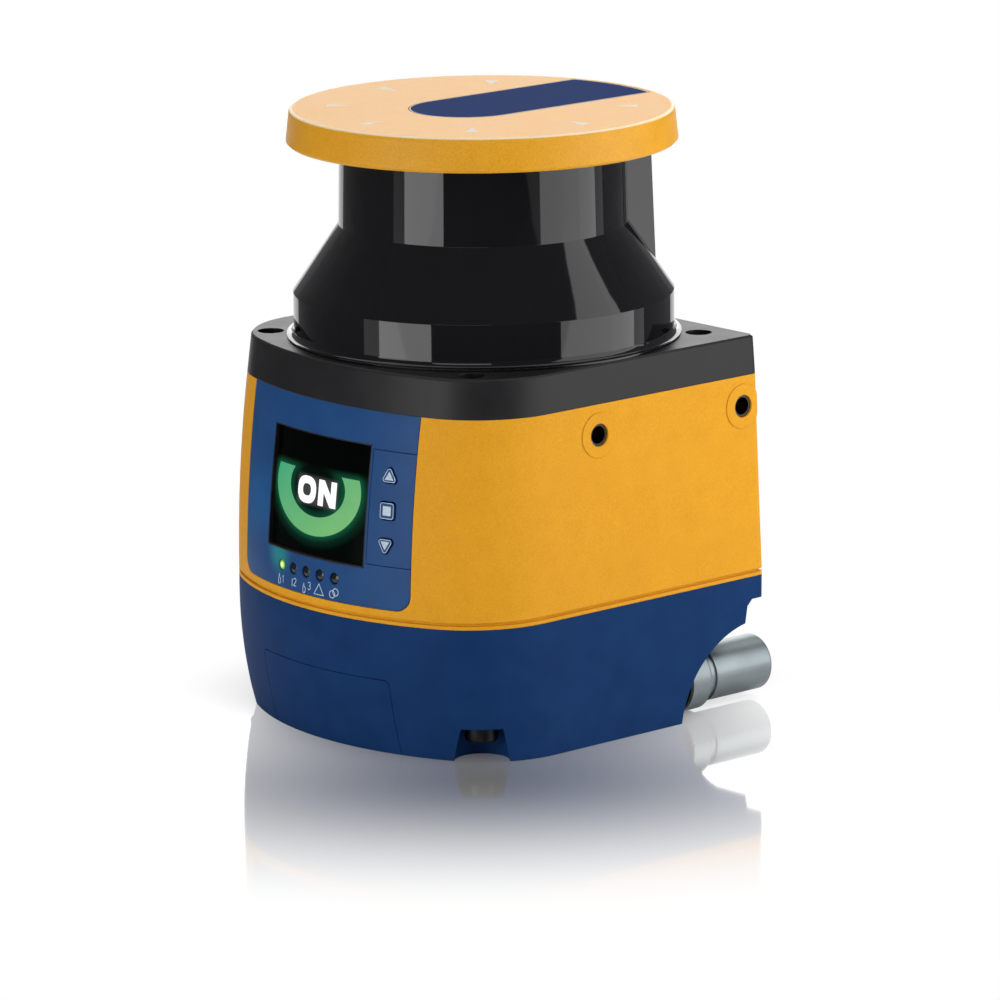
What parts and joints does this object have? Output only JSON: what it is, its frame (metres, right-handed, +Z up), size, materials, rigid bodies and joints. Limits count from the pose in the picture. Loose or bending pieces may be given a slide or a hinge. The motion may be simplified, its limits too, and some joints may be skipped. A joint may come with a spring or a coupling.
{
  "type": "safety laser scanner",
  "caption": "Compact safety laser scanner: round dark scan head under a yellow cap, bowed yellow housing with display and keys, dark blue base and a plug connector at the rear.",
  "frame": {"origin": "on the scan axis, in the plane of the base's underside", "axes": "+Z up along the scan axis, -Y towards the display side, +X to the right of a person who reads the display"},
  "size_m": [0.102, 0.1119, 0.152],
  "materials": {
    "cast_yellow": "fine-grained yellow powder coat",
    "moulded_yellow": "fine-grained yellow moulding",
    "window_black": "polished infrared-pass plastic",
    "frame_black": "satin black moulding",
    "base_blue": "satin dark blue moulding",
    "panel_blue": "satin blue moulding",
    "label_blue": "blue film",
    "screen_glass": "dark display cover",
    "board_green": "solder-resist",
    "chip_black": "moulded epoxy",
    "nickel": "turned and plated",
    "steel": "blackened steel",
    "contact_gold": "gold-plated",
    "rubber_black": "moulded",
    "light_clear": "tinted light pipe",
    "light_green": "lit light pipe",
    "alloy": "machined",
    "lens_clear": "moulded optic",
    "mirror_silver": "front-silvered"
  },
  "bodies": {
    "scanner": {"base": "base_blue", "base_gasket": "rubber_black", "service_cover": "base_blue", "base_screws": "steel", "connector_shell": "nickel", "connector_seal": "rubber_black", "connector_insert": "chip_black", "connector_contacts": "contact_gold", "interface_board": "board_green", "main_board": "board_green", "main_board_chips": "chip_black", "board_spacers": "nickel", "stacking_connector": "chip_black", "service_port": "nickel", "main_housing": "cast_yellow", "mounting_inserts": "nickel", "front_panel": "panel_blue", "display_window": "screen_glass", "display_module": "chip_black", "display_board": "board_green", "keypad_plate": "panel_blue", "key_switches": "chip_black", "ready_light": "light_green", "status_lights": "light_clear", "top_frame": "frame_black", "top_frame_screws": "steel", "optical_window": "window_black", "window_seal": "rubber_black", "top_cap": "moulded_yellow", "cap_label": "label_blue", "optics_carrier": "chip_black", "receiver_lens": "lens_clear", "laser_module": "alloy", "detector_board": "board_green", "photodiode": "nickel", "motor_body": "alloy", "motor_bearings": "nickel", "encoder_board": "board_green", "encoder_sensor": "chip_black"},
    "rotor": {"motor_shaft": "nickel", "encoder_disc": "alloy", "mirror_hub": "alloy", "scan_mirror": "mirror_silver"},
    "up_key": {"up_key": "panel_blue"},
    "enter_key": {"enter_key": "panel_blue"},
    "down_key": {"down_key": "panel_blue"}
  },
  "joints": [
    {"name": "mirror_spin", "type": "hinge", "parent": "scanner", "child": "rotor", "pos_m": [0, 0, 0.1085], "axis": [0, 0, 1], "continuous": true},
    {"name": "up_key_press", "type": "slide", "parent": "scanner", "child": "up_key", "axis": [-0.2638, 0.9577, -0.1149], "range_m": [0, 0.0005], "stiffness_N_per_m": 800, "springref_m": -0.001},
    {"name": "enter_key_press", "type": "slide", "parent": "scanner", "child": "enter_key", "axis": [-0.2638, 0.9577, -0.1149], "range_m": [0, 0.0005], "stiffness_N_per_m": 800, "springref_m": -0.001},
    {"name": "down_key_press", "type": "slide", "parent": "scanner", "child": "down_key", "axis": [-0.2638, 0.9577, -0.1149], "range_m": [0, 0.0005], "stiffness_N_per_m": 800, "springref_m": -0.001}
  ]
}
